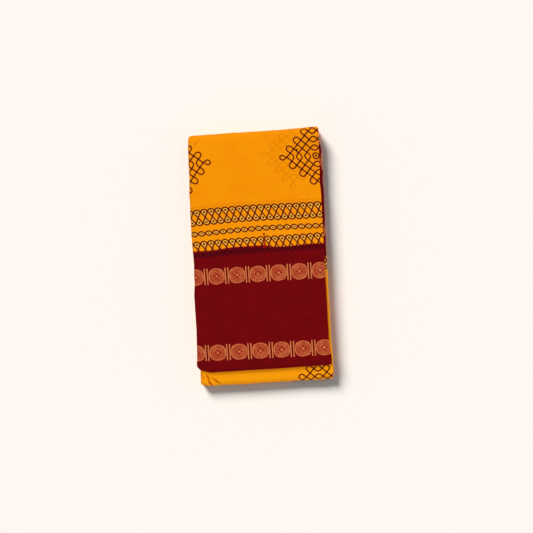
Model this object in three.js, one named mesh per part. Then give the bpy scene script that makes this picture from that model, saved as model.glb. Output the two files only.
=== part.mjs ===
// A cotton saree, folded for the shelf and lying flat.
//
// The cloth was first pleated along its length into a pile about 0.21 m wide, then the pile was folded in
// thirds across its width, like a letter. Seen from the side the pile runs: front leaf, from its selvedge up
// to the top fold, back leaf down to the lower fold, middle leaf up to the other selvedge inside the top fold.
// The outermost layer of cloth is a wall of its own, cut where its stretches change colour or turn under, and
// all the hidden layers are one rounded solid with their folded edges along its sides.
//
// Millimetres. X is across the packet, Y along it, Z up. The packet lies on its back leaf, at Z = 0.

import * as THREE from 'three';

// Driving dimensions
const CLOTH = 1.2; // wall of the outermost layer
const GAP = 0.3; // between pieces
const LIP_GAP = 1.2; // beside the outer layer's turned edges
const LEAF = 8.7; // thickness of one leaf of the packet, outer layer included
const HALF_LENGTH = 201; // from the packet's middle to the top and lower folds
const HALF_WIDTH = 105; // from its middle to its long edges, more or less
const FRONT_HEM_Y = -180; // where the front leaf's selvedge lies
const BORDER_TOP_Y = 13.7; // where the woven border of the front leaf meets the body
const INNER_BORDER_Y = -4.7; // the same line on the middle leaf
const INNER_HEM_Y = 189; // the middle leaf's selvedge, inside the top fold
const TOP_FOLD_SLACK = 1.5; // how far the top fold's inside stands off the middle leaf
const SPINE_LIFT = 0.6; // the outer layer's turned edge stays this far from the next leaf
const EDGE_ROUND = 2.4; // radius of the outer layer where it turns down on the right
const FOLD_SLACK = 0.3; // the hidden layers lie a little looser inside a fold
const TOP_LEFT_DROP = 1.2; // the top fold is this much lower at its left end
const LOWER_LEFT_RISE = 1.0; // and the lower fold this much higher
const HEM_LEFT_RISE = 1.0; // the front selvedge lifts towards both sides
const HEM_RIGHT_RISE = 2.6;
const SKEW_REACH = 25; // and these die out this far from the fold or selvedge

// Soft relief of the leaves
const FRONT_CROWN = 0.7; // the front leaf's middle stands this much above its edges
const FOLD_FLAT = 40; // its crown dies out over this length below the top fold
const HEM_SLOPE = 1.9; // it thins this much towards its selvedge
const HEM_SLOPE_REACH = 16;
const STRIP_CROWN = 0.6; // the middle leaf puffs up where it is bare

// Levels of the three leaves, from the floor up
const BACK_FACE_Z = LEAF;
const MIDDLE_FACE_Z = BACK_FACE_Z + GAP;
const FRONT_FACE_Z = MIDDLE_FACE_Z + LEAF + GAP;

// The packet's two long edges, which wander a little from leaf to leaf
const FRONT_EDGES = [
  { y: -180, left: -102.6, right: 106.6 },
  { y: -177, left: -106.6, right: 106.9 },
  { y: -172, left: -108.9, right: 106.9 },
  { y: -165, left: -109.0, right: 106.6 },
  { y: -155, left: -107.9, right: 105.4 },
  { y: -140, left: -106.9, right: 104.9 },
  { y: -100, left: -106.4, right: 104.8 },
  { y: -60, left: -106.0, right: 105.0 },
  { y: -25, left: -104.6, right: 105.3 },
  { y: -5, left: -103.9, right: 105.5 },
  { y: 20, left: -104.7, right: 105.8 },
  { y: 55, left: -105.0, right: 106.1 },
  { y: 100, left: -104.2, right: 106.1 },
  { y: 140, left: -102.9, right: 106.0 },
  { y: 178, left: -102.1, right: 106.6 },
  { y: 191, left: -101.2, right: 106.9 },
];
const BACK_EDGES = [
  { y: -192, left: -105.0, right: 106.9 },
  { y: -150, left: -104.4, right: 105.7 },
  { y: -50, left: -103.6, right: 105.6 },
  { y: 50, left: -103.5, right: 106.3 },
  { y: 150, left: -102.0, right: 106.6 },
  { y: 191, left: -101.2, right: 106.9 },
];
const MIDDLE_EDGES = [
  { y: -192, left: -105.0, right: 106.9 },
  { y: -186, left: -103.9, right: 106.9 },
  { y: -165, left: -104.3, right: 106.7 },
  { y: -140, left: -104.3, right: 106.3 },
  { y: -100, left: -104.0, right: 106.2 },
  { y: -60, left: -103.8, right: 107.1 },
  { y: -40, left: -103.4, right: 107.8 },
  { y: -5, left: -102.8, right: 107.3 },
  { y: 30, left: -103.0, right: 107.6 },
  { y: 70, left: -103.0, right: 107.9 },
  { y: 100, left: -102.8, right: 108.4 },
  { y: 150, left: -102.2, right: 108.9 },
  { y: 168, left: -102.0, right: 109.0 },
  { y: 180, left: -101.6, right: 106.7 },
  { y: 189, left: -101.6, right: 106.2 },
];

// The two folds: which way each turns, its inner half ellipse, its edges and how much its corners round off
const TOP_FOLD = {
  way: 1,
  depth: TOP_FOLD_SLACK,
  height: (FRONT_FACE_Z - BACK_FACE_Z) / 2,
  y: HALF_LENGTH - LEAF - TOP_FOLD_SLACK,
  z: (FRONT_FACE_Z + BACK_FACE_Z) / 2,
  left: -101.2,
  right: 106.9,
  leftCorner: 1.6,
  rightCorner: 2.6,
};
const LOWER_FOLD = {
  way: -1,
  depth: GAP / 2,
  height: GAP / 2,
  y: -(HALF_LENGTH - LEAF - GAP / 2),
  z: (MIDDLE_FACE_Z + BACK_FACE_Z) / 2,
  left: -105.0,
  right: 106.9,
  leftCorner: 4.5,
  rightCorner: 1.0,
};
const CORNER_ROUNDING = 0.98;
const CORNER_SHARPNESS = 5;

// Folded edges of the hidden layers on the right: how far each stands back from the packet's edge
const LAYER_RIDGES = [
  { back: 1.0, share: 0.36 },
  { back: 0.3, share: 0.26 },
  { back: 0.8, share: 0.38 },
];
const RIDGE_DEPTH = 0.9;

// The front selvedge's hidden layers end in steps: how far along each is, and the share of the leaf there
const HEM_STEPS = [
  { back: 0.4, share: 0.34 },
  { back: 1.2, share: 0.34 },
  { back: 1.3, share: 0.68 },
  { back: 2.2, share: 0.68 },
  { back: 2.3, share: 1 },
];
const HEM_NARROWING = 12.5; // and they draw in a little from the long edges

// How many steps each curve or stretch is drawn in
const SPINE_STEPS = 6;
const EDGE_STEPS = 5;
const FOLD_STEPS = 10;
const ACROSS = [0.12, 0.3, 0.5, 0.7, 0.88];

const lerp = THREE.MathUtils.lerp;
const smoothstep = THREE.MathUtils.smoothstep;

// Reads a column of an edge table at y, with a smooth curve through its rows
function edgeAt(table, y, column) {
  if (y <= table[0].y) return table[0][column];
  const next = table.findIndex((row) => row.y > y);
  if (next < 0) return table[table.length - 1][column];
  const [low, high] = [table[next - 1], table[next]];
  const part = (y - low.y) / (high.y - low.y);
  return lerp(low[column], high[column], part * part * (3 - 2 * part));
}

// The leaf's thickness: the front leaf is softly crowned and slopes down to its selvedge, the middle leaf
// puffs up where it comes out from under it, and the back leaf is pressed flat
function leafHeight(leaf, y, across) {
  const crown = Math.sin(Math.PI * across);
  if (leaf === 'front') {
    const clearOfFold = 1 - smoothstep(y, TOP_FOLD.y - FOLD_FLAT, TOP_FOLD.y);
    const nearHem = 1 - smoothstep(y, FRONT_HEM_Y, FRONT_HEM_Y + HEM_SLOPE_REACH);
    return LEAF + FRONT_CROWN * crown * clearOfFold - HEM_SLOPE * nearHem * nearHem;
  }
  if (leaf === 'middle') {
    return LEAF + STRIP_CROWN * crown * (1 - smoothstep(y, LOWER_FOLD.y, FRONT_HEM_Y - 1));
  }
  return LEAF;
}

// A station is one place along the pile: where its inner face is, which way is out, and its two edges
function flatStation(leaf, y) {
  const table = { front: FRONT_EDGES, back: BACK_EDGES, middle: MIDDLE_EDGES }[leaf];
  const level = { front: FRONT_FACE_Z, back: BACK_FACE_Z, middle: MIDDLE_FACE_Z }[leaf];
  return {
    leaf,
    y,
    z: level,
    outY: 0,
    outZ: leaf === 'back' ? -1 : 1,
    left: edgeAt(table, y, 'left'),
    right: edgeAt(table, y, 'right'),
    slack: 0,
    share: 1,
  };
}

// A fold's inner face is half an ellipse, followed by the angle of its outward direction. The corners at its
// two ends are rounded off towards the middle of the turn
function foldStation(fold, degrees) {
  const turn = THREE.MathUtils.degToRad(degrees);
  const [sin, cos] = [Math.sin(turn), Math.cos(turn)];
  const size = Math.hypot(fold.depth * sin, fold.height * cos);
  const rounding = 1 - Math.sqrt(1 - CORNER_ROUNDING * Math.abs(sin) ** CORNER_SHARPNESS);
  return {
    leaf: 'fold',
    y: fold.y + (fold.way * fold.depth * fold.depth * sin) / size,
    z: fold.z + (fold.height * fold.height * cos) / size,
    outY: fold.way * sin,
    outZ: cos,
    left: fold.left + fold.leftCorner * rounding,
    right: fold.right - fold.rightCorner * rounding,
    slack: FOLD_SLACK * Math.abs(sin),
    share: 1,
  };
}

const flatStations = (leaf, places) => places.map((y) => flatStation(leaf, y));

function foldStations(fold, from, to) {
  const stations = [];
  for (let step = 0; step <= FOLD_STEPS; step += 1) {
    stations.push(foldStation(fold, lerp(from, to, step / FOLD_STEPS)));
  }
  return stations;
}

// The stretches of the pile in order, from the front selvedge to the inner one
const FRONT_BORDER_STATIONS = flatStations('front', [
  FRONT_HEM_Y, -179.6, -178.75, -177.75, -176, -174, -172, -168, -164, -155, -145, -125, -100, -80, -60, -42,
  -25, -15, -5, BORDER_TOP_Y - GAP / 2,
]);
const FRONT_BODY_STATIONS = [
  ...flatStations('front', [BORDER_TOP_Y + GAP / 2, 25, 40, 55, 78, 100, 120, 140, 160, 178]),
  ...foldStations(TOP_FOLD, 0, 180),
];
const BACK_BODY_STATIONS = flatStations('back', [
  TOP_FOLD.y - GAP, 150, 100, 50, 0, -50, -100, -150, LOWER_FOLD.y + GAP,
]);
const LOWER_BODY_STATIONS = [
  ...foldStations(LOWER_FOLD, 180, 0),
  ...flatStations('middle', [
    -189, -186, -183, -180.5, -178, -165, -140, -100, -60, -40, -20, INNER_BORDER_Y - GAP / 2,
  ]),
];
const HEM_STEP_STATIONS = HEM_STEPS.map(({ back, share }) => ({
  ...flatStation('front', FRONT_HEM_Y + back),
  share,
}));
const INNER_BORDER_STATIONS = flatStations('middle', [
  INNER_BORDER_Y + GAP / 2, 30, 70, 100, 150, 168, 174, 180, INNER_HEM_Y,
]);

// Where the hem and the folds are not quite square to the packet's sides: how far a point moves along Y
function skew(leaf, x, y) {
  const side = x / HALF_WIDTH;
  const leftSide = Math.min(side, 0) ** 2;
  const rightSide = Math.max(side, 0) ** 2;
  const top = -TOP_LEFT_DROP * leftSide * smoothstep(y, HALF_LENGTH - SKEW_REACH, HALF_LENGTH);
  const lower = LOWER_LEFT_RISE * leftSide * (1 - smoothstep(y, -HALF_LENGTH, SKEW_REACH - HALF_LENGTH));
  const nearHem = 1 - smoothstep(y, FRONT_HEM_Y, FRONT_HEM_Y + SKEW_REACH);
  const hem = (HEM_RIGHT_RISE * rightSide + HEM_LEFT_RISE * leftSide) * nearHem;
  return leaf === 'front' ? top + hem : top + lower;
}

// A point of the pile at a station: x across, t outwards from its inner face
function place(station, [x, t]) {
  const y = station.y + station.outY * t;
  return new THREE.Vector3(x, y + skew(station.leaf, x, y), station.z + station.outZ * t);
}

// Points of an arc about (x, t), from one angle to the other
function arc(x, t, radius, from, to, steps) {
  const points = [];
  for (let step = 0; step <= steps; step += 1) {
    const angle = THREE.MathUtils.degToRad(lerp(from, to, step / steps));
    points.push([x + radius * Math.cos(angle), t + radius * Math.sin(angle)]);
  }
  return points;
}

// The line that the outer layer follows round a section, set in by some depth from its outside
function coverLine(station, depth) {
  const top = leafHeight(station.leaf, station.y, 0);
  const spine = (top - SPINE_LIFT) / 2;
  const leftX = station.left + spine;
  const rightX = station.right - EDGE_ROUND;
  const flat = ACROSS.map((across) => [
    lerp(leftX, rightX, across),
    leafHeight(station.leaf, station.y, across) - depth,
  ]);
  return {
    leftX,
    rightX,
    top,
    points: [
      ...arc(leftX, SPINE_LIFT + spine, spine - depth, 270, 90, SPINE_STEPS),
      ...flat,
      ...arc(rightX, top - EDGE_ROUND, EDGE_ROUND - depth, 90, -90, EDGE_STEPS),
    ],
  };
}

// Section of the outer layer: round the spine on the left, across, and turned down on the right
function coverSection(station) {
  const outside = coverLine(station, 0).points;
  const inside = coverLine(station, CLOTH).points;
  return [...outside, ...inside.reverse()];
}

// Section of the hidden layers: it fills the outer layer, and its folded edges stand out below on the right
function layersSection(station) {
  const { leftX, rightX, top, points } = coverLine(station, CLOTH + GAP + station.slack);
  const lip = points[0][1];
  const tuck = points[points.length - 1][1];
  const below = top - 2 * EDGE_ROUND - GAP;
  let level = below;
  const ridges = LAYER_RIDGES.flatMap(({ back, share }) => {
    const depth = share * below;
    const crest = station.right - back;
    const ridge = [
      [crest - RIDGE_DEPTH, level],
      [crest, level - depth * 0.3],
      [crest, level - depth * 0.7],
    ];
    level -= depth;
    return ridge;
  });
  const ring = [
    [leftX + LIP_GAP, 0],
    [leftX + LIP_GAP, lip],
    ...points,
    [rightX - LIP_GAP, tuck],
    [rightX - LIP_GAP, below],
    ...ridges,
    [station.right - LIP_GAP - RIDGE_DEPTH, 0],
  ];
  const topFace = top - CLOTH - GAP;
  const narrow = 1 - (HEM_NARROWING * (1 - station.share)) / HALF_WIDTH;
  return ring.map(([x, t]) => [x * narrow, topFace - (topFace - t) * station.share]);
}

// Triangles that close an end of the outer layer, whose section is as many points outside as inside
function wallCap(ring) {
  const triangles = [];
  for (let i = 0; i + 1 < ring.length / 2; i += 1) {
    const across = ring.length - 1 - i;
    triangles.push([i, i + 1, across - 1], [i, across - 1, across]);
  }
  return triangles;
}

// Triangles that close an end of the hidden layers, wound the same way as their section
function layersCap(ring) {
  const outline = ring.map(([x, t]) => new THREE.Vector2(x, t));
  const triangles = THREE.ShapeUtils.triangulateShape(outline, []);
  const area = (corners) => THREE.ShapeUtils.area(corners.map((i) => outline[i]));
  const covered = triangles.reduce((sum, triangle) => sum + area(triangle), 0);
  const sameWay = covered * THREE.ShapeUtils.area(outline) > 0;
  return triangles.map((triangle) => (sameWay ? triangle : triangle.reverse()));
}

// Joins the sections of a run of stations into one closed solid
function loft(stations, { section, cap }) {
  const rings = stations.map((station) => section(station));
  const size = rings[0].length;
  const vertices = rings.flatMap((ring, i) => ring.map((point) => place(stations[i], point)));
  const triangles = [];
  for (let i = 0; i + 1 < rings.length; i += 1) {
    for (let j = 0; j < size; j += 1) {
      const [a, b] = [i * size + j, i * size + ((j + 1) % size)];
      const [c, d] = [a + size, b + size];
      triangles.push([a, b, d], [a, d, c]);
    }
  }
  const last = (rings.length - 1) * size;
  triangles.push(...cap(rings[0]).map((triangle) => triangle.reverse()));
  triangles.push(...cap(rings[rings.length - 1]).map((triangle) => triangle.map((i) => i + last)));
  const geometry = new THREE.BufferGeometry().setFromPoints(vertices);
  geometry.setIndex(triangles.flat());
  geometry.computeVertexNormals();
  return geometry;
}

// Cotton in the colours of its stretch
function cotton(color) {
  return new THREE.MeshStandardMaterial({ color, roughness: 0.85, metalness: 0 });
}

function piece(name, stations, form, color) {
  const mesh = new THREE.Mesh(loft(stations, form), cotton(color));
  mesh.name = name;
  return mesh;
}

const COVER = { section: coverSection, cap: wallCap };
const LAYERS = { section: layersSection, cap: layersCap };
const MUSTARD = 0xf99b08;
const MAROON = 0x760a10;

const saree = new THREE.Group();
saree.name = 'folded_saree';
saree.add(
  piece('front_border', FRONT_BORDER_STATIONS, COVER, MAROON),
  piece('front_body', FRONT_BODY_STATIONS, COVER, MUSTARD),
  piece('back_body', BACK_BODY_STATIONS, COVER, MUSTARD),
  piece('lower_body', LOWER_BODY_STATIONS, COVER, MUSTARD),
  piece('inner_border', INNER_BORDER_STATIONS, COVER, MAROON),
  piece(
    'folded_layers',
    [
      ...HEM_STEP_STATIONS,
      ...FRONT_BORDER_STATIONS.filter(({ y }) => y > HEM_STEP_STATIONS.at(-1).y),
      ...FRONT_BODY_STATIONS,
      ...BACK_BODY_STATIONS,
      ...LOWER_BODY_STATIONS,
      ...INNER_BORDER_STATIONS,
    ],
    LAYERS,
    MUSTARD,
  ),
);

export default saree;
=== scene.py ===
# %% [markdown]
# A folded cotton saree. Seven pieces, five of cloth and two of layers, are dressed over the solids of the
# frame. The frame comes first, because it says where every piece lies, and its box is kept.

# %% The frame
import math

import bmesh
import bpy
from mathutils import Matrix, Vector, noise


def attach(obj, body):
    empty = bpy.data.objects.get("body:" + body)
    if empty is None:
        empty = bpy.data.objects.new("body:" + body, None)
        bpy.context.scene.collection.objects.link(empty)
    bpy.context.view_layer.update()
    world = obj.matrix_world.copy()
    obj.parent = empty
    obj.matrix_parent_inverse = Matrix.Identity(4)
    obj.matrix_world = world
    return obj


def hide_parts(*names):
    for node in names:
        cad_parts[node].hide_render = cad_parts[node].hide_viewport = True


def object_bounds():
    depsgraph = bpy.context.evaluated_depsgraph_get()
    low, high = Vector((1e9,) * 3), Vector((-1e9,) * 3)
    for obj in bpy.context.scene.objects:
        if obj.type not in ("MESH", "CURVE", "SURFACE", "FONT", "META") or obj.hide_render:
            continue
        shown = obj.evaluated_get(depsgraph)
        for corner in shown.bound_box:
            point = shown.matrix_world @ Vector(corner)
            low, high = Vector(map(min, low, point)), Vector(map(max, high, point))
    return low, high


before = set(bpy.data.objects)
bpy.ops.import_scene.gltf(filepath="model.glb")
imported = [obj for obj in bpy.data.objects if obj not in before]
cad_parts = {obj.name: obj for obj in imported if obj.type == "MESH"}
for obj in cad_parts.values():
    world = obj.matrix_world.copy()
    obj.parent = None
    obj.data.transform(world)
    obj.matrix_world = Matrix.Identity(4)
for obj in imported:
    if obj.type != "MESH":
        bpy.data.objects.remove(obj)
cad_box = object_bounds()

print("nodes:", sorted(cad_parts))
print("size in mm:", [round(1000 * (high - low), 1) for low, high in zip(*cad_box)])

# %% [markdown]
# The packet is a pile of cloth folded in thirds, like a letter. All sizes here are in millimetres, as a
# maker would note them, and become metres only where a vertex is placed. The three leaves lie on each
# other, each as thick as `LEAF`. Every row of `EDGES` gives a place along the leaf and its left and right
# edge there, so the long edges wander as they do in real cloth. The rows follow the solids' tables.

# %% Sizes of the packet
MM = 0.001
LEAF = 8.7
GAP = 0.3
HALF_LENGTH = 201.0
HALF_WIDTH = 105.0
FRONT_HEM_Y = -180.0
BORDER_TOP_Y = 13.7
INNER_BORDER_Y = -4.7
INNER_HEM_Y = 189.0
SPINE_LIFT = 0.6
EDGE_ROUND = 1.3
SKEW_REACH = 25.0
EDGE_WANDER = 0.7
LEVEL = {"back": LEAF, "middle": LEAF + GAP, "front": 2 * (LEAF + GAP)}
EDGES = {
    "front": [
        (-180, -102.6, 105.4), (-177, -106.6, 105.8), (-172, -108.9, 105.9), (-165, -109.0, 105.4),
        (-155, -107.9, 104.2), (-140, -106.9, 103.5), (-100, -106.4, 103.2), (-60, -106.0, 103.3),
        (-25, -104.6, 103.5), (-5, -103.9, 103.7), (20, -104.7, 103.9), (55, -105.0, 104.2),
        (100, -104.2, 104.3), (140, -102.9, 104.5), (178, -102.1, 106.2), (191, -101.2, 106.9),
    ],
    "back": [
        (-192, -105.0, 106.9), (-150, -104.4, 105.7), (-50, -103.6, 105.6), (50, -103.5, 106.3),
        (150, -102.0, 106.6), (191, -101.2, 106.9),
    ],
    "middle": [
        (-192, -105.0, 107.2), (-186, -102.6, 107.3), (-178, -103.9, 107.6), (-165, -104.3, 107.9),
        (-140, -104.3, 107.1), (-100, -104.0, 106.8), (-60, -103.8, 107.2), (-40, -103.4, 107.4),
        (-5, -102.8, 107.6), (30, -103.0, 108.2), (70, -103.0, 108.9), (100, -102.8, 109.6),
        (150, -102.2, 110.2), (168, -102.0, 110.0), (180, -101.6, 107.0), (189, -101.6, 106.2),
    ],
}
TOP_FOLD = {
    "way": 1, "depth": 1.5, "height": (LEVEL["front"] - LEVEL["back"]) / 2, "y": HALF_LENGTH - LEAF - 1.5,
    "z": (LEVEL["front"] + LEVEL["back"]) / 2, "left": -101.2, "right": 106.9, "corners": (1.6, 2.6),
}
LOWER_FOLD = {
    "way": -1, "depth": GAP / 2, "height": GAP / 2, "y": -(HALF_LENGTH - LEAF - GAP / 2),
    "z": (LEVEL["middle"] + LEVEL["back"]) / 2, "left": -105.0, "right": 106.9, "corners": (4.5, 1.0),
}


def smooth(value, low, high):
    part = min(max((value - low) / (high - low), 0.0), 1.0)
    return part * part * (3 - 2 * part)


def table_edge(rows, y, column):
    if y <= rows[0][0]:
        return rows[0][column]
    for low, high in zip(rows, rows[1:]):
        if y <= high[0]:
            return low[column] + (high[column] - low[column]) * smooth(y, low[0], high[0])
    return rows[-1][column]


def edge_at(leaf, y, column):
    """An edge of a leaf: the table's place, with a little wander away from the folds."""
    rows = EDGES[leaf]
    clear = smooth(abs(abs(y) - HALF_LENGTH), 9, 30)
    wander = EDGE_WANDER * clear * noise.noise(Vector((y / 17, column * 4.7 + len(rows), 2.2)))
    return table_edge(rows, y, column) + wander


print("leaves:", {leaf: len(rows) for leaf, rows in EDGES.items()}, "rows of edges")

# %% [markdown]
# The cloth is followed along one path, from the front selvedge over the top fold, down the back, round the
# lower fold and up the middle leaf. A station on that path knows its place, which way is outwards, its two
# edges and `along`, how far it is along the outside of the cloth. The leaves could also be modelled one by
# one, but then their lengths and prints would have to be matched at every fold. With `along` and the
# distance across, every point of the cloth has flat coordinates, so a print drawn on them runs over the
# folds as on the real one.

# %% Stations along the pile
STEP = 1.7
FOLD_STEP = 6.0


def flat_station(leaf, y, along):
    return {
        "leaf": leaf, "y": y, "z": LEVEL[leaf], "out": (0.0, -1.0 if leaf == "back" else 1.0),
        "left": edge_at(leaf, y, 1), "right": edge_at(leaf, y, 2), "along": along,
    }


def flat_run(leaf, y_from, y_to, along_from):
    count = max(2, round(abs(y_to - y_from) / STEP))
    ys = [y_from + (y_to - y_from) * i / count for i in range(count + 1)]
    return [flat_station(leaf, y, along_from + abs(y - y_from)) for y in ys]


def fold_station(fold, degrees):
    """A station on a fold, which is an ellipse. Its two corners are rounded off towards the turn."""
    sin, cos = math.sin(math.radians(degrees)), math.cos(math.radians(degrees))
    size = math.hypot(fold["depth"] * sin, fold["height"] * cos)
    rounding = 1 - math.sqrt(1 - 0.98 * abs(sin) ** 5)
    return {
        "leaf": "fold",
        "y": fold["y"] + fold["way"] * fold["depth"] ** 2 * sin / size,
        "z": fold["z"] + fold["height"] ** 2 * cos / size,
        "out": (fold["way"] * sin, cos),
        "left": fold["left"] + fold["corners"][0] * rounding,
        "right": fold["right"] - fold["corners"][1] * rounding,
        "along": 0.0,
    }


def fold_run(fold, start, end, along_from):
    count = round(abs(end - start) / FOLD_STEP)
    run = [fold_station(fold, start + (end - start) * i / count) for i in range(count + 1)]
    outside = [(s["y"] + s["out"][0] * LEAF, s["z"] + s["out"][1] * LEAF) for s in run]
    along = along_from
    for i, station in enumerate(run):
        along += math.dist(outside[i], outside[i - 1]) if i else 0.0
        station["along"] = along
    return run


def joined(*runs):
    stations = list(runs[0])
    for run in runs[1:]:
        stations += run[1:]
    return stations


FRONT = flat_run("front", FRONT_HEM_Y, BORDER_TOP_Y, FRONT_HEM_Y)
FRONT_BODY = joined(
    flat_run("front", BORDER_TOP_Y, TOP_FOLD["y"], BORDER_TOP_Y), fold_run(TOP_FOLD, 0, 180, TOP_FOLD["y"])
)
BACK = flat_run("back", TOP_FOLD["y"], LOWER_FOLD["y"], FRONT_BODY[-1]["along"])
LOWER = fold_run(LOWER_FOLD, 180, 0, BACK[-1]["along"])
LOWER_BODY = joined(LOWER, flat_run("middle", LOWER_FOLD["y"], INNER_BORDER_Y, LOWER[-1]["along"]))
INNER = flat_run("middle", INNER_BORDER_Y, INNER_HEM_Y, LOWER_BODY[-1]["along"])
INNER_BORDER_ALONG = INNER[0]["along"]
print("cloth width along the outside, mm:", round(INNER[-1]["along"] - FRONT[0]["along"]))

# %% [markdown]
# Real cloth is never flat. A crease is a soft ridge or trough between two points, with its own width and
# height. A cloth simulation could find creases of its own, but not the ones that the photo shows, so they
# are listed one by one. Each row gives x and `along` at both ends, the width and the height. Low, slow
# noise adds the unevenness of a pile that was pressed by others on top of it.

# %% Creases
CREASES = {
    "front": [
        (-85, 192, -92.5, 180, 1.3, -0.7), (-97, 120, -99, -30, 3.5, -0.3),
        (-60, 12, 96, 17, 2.4, 0.28), (-104, -41, 30, -42, 2.2, -0.35), (30, -42, 104, -38, 2.2, -0.2),
        (-101, -120, -104, -168, 3.0, 0.35), (-103, -172, -88, -180, 2.5, 0.5),
        (58, 190, 62, 60, 7.0, 0.18), (-40, 188, -36, 90, 8.0, -0.16), (8, 13, 10, 40, 2.0, 0.3),
        (20, -60, 24, -170, 9.0, 0.2), (-50, -58, -54, -176, 9.0, -0.2),
        (99, -20, 101, -120, 2.0, 0.25), (80, -176, 104, -171, 2.5, 0.35),
        (-20, -177, 60, -177, 3.0, 0.25),
    ],
    "fold": [
        (-84, 196, -85.5, 190, 1.3, -0.7), (-99, 196, -84, 203, 2.0, -0.4),
        (-30, 192, -24, 225, 3.0, 0.4), (40, 190, 44, 228, 4.0, -0.35), (84, 192, 96, 214, 2.5, 0.4),
        (-62, 200, -58, 228, 3.0, -0.35), (-6, 206, 22, 222, 2.0, 0.35),
        (-94, 643, -85, 623, 1.2, -2.0), (-98, 641, -91, 626, 1.5, 1.0),
        (-87, 644, -73, 632, 1.2, -1.8), (-89, 637, -80, 626, 1.5, 1.2), (-80, 640, -66, 632, 2.0, 0.5),
        (-101, 634, -95, 622, 1.8, -0.7), (-60, 634, -20, 631, 3.0, -0.35),
        (-40, 612, -36, 640, 3.0, 0.4), (22, 614, 25, 640, 3.5, -0.4), (20, 633, 90, 634, 3.0, -0.3),
        (80, 612, 84, 640, 2.5, 0.4), (88, 640, 102, 628, 2.0, -0.5),
    ],
    "middle": [
        (-96, 649.5, -90, 641, 1.2, -1.8), (-99, 648, -95, 641, 1.5, 1.0),
        (-88, 648, -82, 643, 1.5, 1.0), (-94, 643, -85, 623, 1.2, -2.0),
        (-87, 644, -73, 632, 1.2, -1.8), (-104, 644.5, -97, 644, 1.8, -0.9),
        (-70, 645, 20, 646, 2.4, 0.45), (30, 647, 100, 646, 2.8, 0.4), (-50, 650.5, 60, 650, 1.6, -0.4),
        (-78, 649, -60, 642, 1.8, 0.4),
    ],
}
SLOW_NOISE, QUICK_NOISE = 0.42, 0.08
FRONT_CROWN, MIDDLE_CROWN = 0.7, 0.6
HEM_DROP = 4.4
TOP_LEFT_SKEW, TOP_RIGHT_SKEW, LOWER_LEFT_SKEW = -1.2, 2.2, 1.0
HEM_SKEW, HEM_RIGHT_SKEW, HEM_LEFT_SKEW = 1.5, 1.6, 4.0


def crease_heights(leaf, across, along):
    """The height of every crease at a place on the cloth."""
    heights = []
    for x0, y0, x1, y1, width, top in CREASES.get(leaf, []):
        run = (x1 - x0) ** 2 + (y1 - y0) ** 2
        part = min(max(((across - x0) * (x1 - x0) + (along - y0) * (y1 - y0)) / run, 0.0), 1.0)
        away = math.hypot(across - x0 - part * (x1 - x0), along - y0 - part * (y1 - y0))
        fade = 0.25 + 0.75 * math.sin(math.pi * min(max(part, 0.05), 0.95))
        heights.append(top * fade * math.exp(-((away / width) ** 2)))
    return heights or [0.0]


def unevenness(leaf, across, along):
    """Height of the noise and the creases. The back leaf has none, because it is pressed flat."""
    if leaf == "back":
        return 0.0
    slow = noise.noise(Vector((across / 38, along / 55, 3.1)))
    quick = noise.noise(Vector((across / 11, along / 15, 8.7)))
    return SLOW_NOISE * slow + QUICK_NOISE * quick + sum(crease_heights(leaf, across, along))


def leaf_height(leaf, y, share):
    """Thickness of a leaf. It crowns a little in the middle, and the front one drops at its hem."""
    crown = math.sin(math.pi * min(max(share, 0.0), 1.0))
    if leaf == "front":
        clear = 1 - smooth(y, TOP_FOLD["y"] - 40, TOP_FOLD["y"])
        near_hem = 1 - smooth(y, FRONT_HEM_Y - 4, FRONT_HEM_Y + 26)
        return LEAF + FRONT_CROWN * crown * clear - HEM_DROP * near_hem * near_hem
    if leaf == "middle":
        return LEAF + MIDDLE_CROWN * crown * (1 - smooth(y, LOWER_FOLD["y"], FRONT_HEM_Y - 1))
    return LEAF


def skew(leaf, x, y):
    """How far the folds and the hem lie out of square towards their corners."""
    side = x / HALF_WIDTH
    left, right = min(side, 0.0) ** 2, max(side, 0.0) ** 2
    top = TOP_LEFT_SKEW * left * smooth(y, HALF_LENGTH - SKEW_REACH, HALF_LENGTH)
    top += TOP_RIGHT_SKEW * right * smooth(y, HALF_LENGTH - 1.6 * SKEW_REACH, HALF_LENGTH)
    if leaf != "front":
        return top + LOWER_LEFT_SKEW * left * (1 - smooth(y, -HALF_LENGTH, SKEW_REACH - HALF_LENGTH))
    hem = HEM_SKEW + HEM_RIGHT_SKEW * right + HEM_LEFT_SKEW * smooth(-x, 86, 103)
    return top + hem * (1 - smooth(y, FRONT_HEM_Y, FRONT_HEM_Y + SKEW_REACH))


def place(station, x, out):
    y = station["y"] + station["out"][0] * out
    z = station["z"] + station["out"][1] * out
    return Vector((x, y + skew(station["leaf"], x, y), z)) * MM


print("creases placed by hand:", sum(len(rows) for rows in CREASES.values()))

# %% [markdown]
# Each stretch of the outer layer starts as what it is, a flat rectangle of cloth: one grid. Every vertex
# then moves to its place on the packet: round the spine on the left, across, and down over the fold on the
# right. A box pulled into shape would look much the same from above, but its cloth would stretch at every
# turn. The flat coordinates stay on the piece as a UV map, in metres, and the depth of a crease as an
# attribute of painted shade, which darkens the cloth's colour deep in a crease. Solidify gives the cloth
# its thickness.

# %% The folded sheet
SPINE_CELLS = 12
FLAT_CELLS = 200
BACK_CELLS = 100
EDGE_CELLS = 8
# How deep a crease must be before it gets painted shade.
CREASE_SHOWS = 0.25
CLOTH_THICKNESS = 0.6
CLOTH_UV = "cloth"
PAINTED_SHADE = "valley"


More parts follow.
